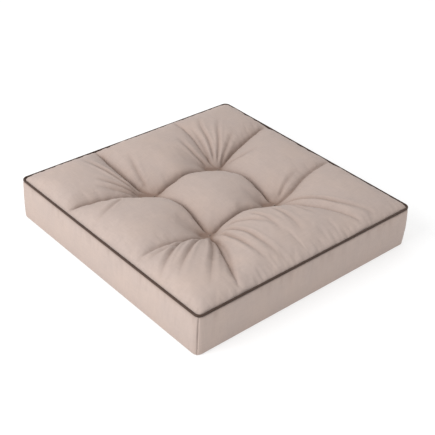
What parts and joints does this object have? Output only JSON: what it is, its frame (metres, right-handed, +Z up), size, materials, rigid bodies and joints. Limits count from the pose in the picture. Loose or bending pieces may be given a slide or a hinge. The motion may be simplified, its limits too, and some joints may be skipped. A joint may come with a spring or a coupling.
{
  "type": "floor cushion",
  "caption": "Square boxed floor cushion with a tufted, pillowed top, dark piping round the top edge and a zip in its rear wall.",
  "frame": {"origin": "on the floor under the middle of the cushion", "axes": "+Z up through the tufted top, +Y towards the wall with the zip, +X to the right seen from the front wall"},
  "size_m": [0.6014, 0.6039, 0.1233],
  "materials": {
    "fabric": "matt plain-woven cotton, warm beige",
    "piping": "matt dark brown bias strip",
    "cord": "white twisted cotton cord",
    "foam": "open-cell polyurethane foam, pale yellow",
    "fibre": "white polyester wadding",
    "twine": "waxed twisted twine, taupe",
    "button": "moulded, taupe",
    "tape": "woven zip tape, taupe",
    "coil": "moulded nylon, taupe",
    "metal": "antique brass"
  },
  "bodies": {
    "cushion": {"top_panel": "fabric", "bottom_panel": "fabric", "front_wall": "fabric", "right_wall": "fabric", "left_wall": "fabric", "rear_wall_lower": "fabric", "rear_wall_upper": "fabric", "piping_cover": "piping", "piping_cord": "cord", "fibre_topper": "fibre", "foam_core": "foam", "fibre_underlay": "fibre", "tuft_twine_1": "twine", "tuft_twine_2": "twine", "tuft_twine_3": "twine", "tuft_twine_4": "twine", "tuft_button_1": "button", "tuft_button_2": "button", "tuft_button_3": "button", "tuft_button_4": "button", "zip_tape_upper": "tape", "zip_tape_lower": "tape", "zip_coil_upper": "coil", "zip_coil_lower": "coil", "zip_top_stop_upper": "metal", "zip_top_stop_lower": "metal", "zip_bottom_stop": "metal"},
    "zip_slider": {"zip_slider": "metal"},
    "zip_pull": {"zip_pull": "metal"}
  },
  "joints": [
    {"name": "zip_slide", "type": "slide", "parent": "cushion", "child": "zip_slider", "axis": [-1, 0, 0], "range_m": [0, 0.4712]},
    {"name": "pull_swing", "type": "hinge", "parent": "zip_slider", "child": "zip_pull", "pos_m": [0.2332, 0.3014, 0.046], "axis": [0, 0, -1], "range_deg": [0, 178]}
  ]
}
